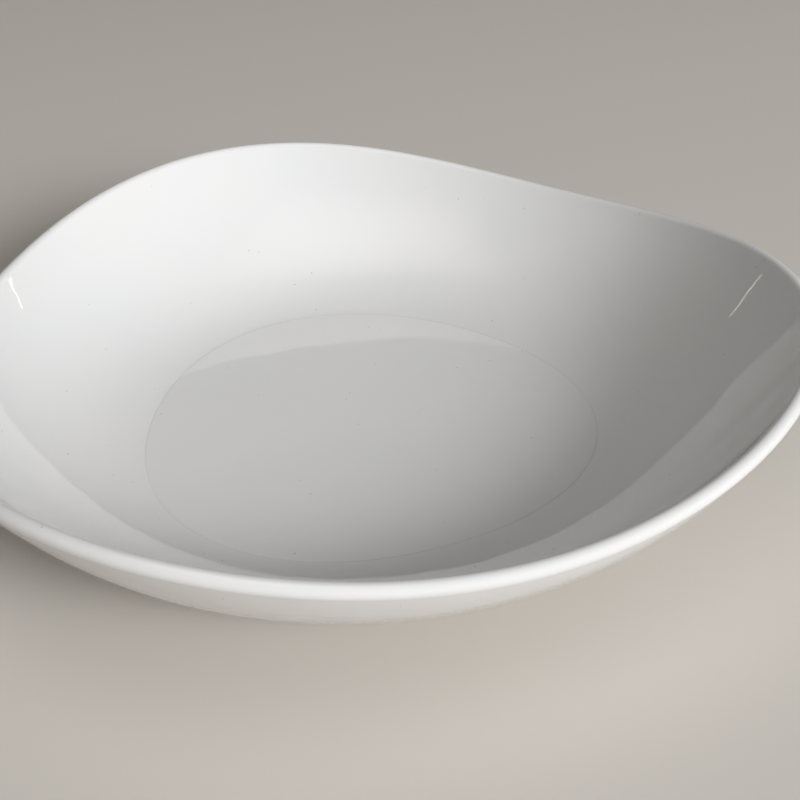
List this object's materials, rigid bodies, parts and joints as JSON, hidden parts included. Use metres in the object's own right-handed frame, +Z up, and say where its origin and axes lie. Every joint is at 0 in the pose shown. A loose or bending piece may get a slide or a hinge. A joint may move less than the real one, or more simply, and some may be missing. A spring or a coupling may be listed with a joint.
{
  "type": "serving bowl",
  "caption": "Low, wide porcelain serving bowl with a soft three-cornered rim that climbs at each corner, a flat well, a rounded lip and a foot ring.",
  "frame": {"origin": "on the axis of the foot ring, in the plane of its bearing face", "axes": "+Z up; one of the three rim corners lies along +X, and the bowl is symmetric about the XZ plane"},
  "size_m": [0.2756, 0.277, 0.0574],
  "materials": {
    "bare_porcelain": "unglazed, matt, slightly warm white",
    "white_glaze": "glossy white glaze over white porcelain, with faint waviness and a few pinholes"
  },
  "bodies": {
    "root": {"porcelain_body": "bare_porcelain", "glaze_coat": "white_glaze", "base_glaze": "white_glaze"}
  },
  "joints": []
}
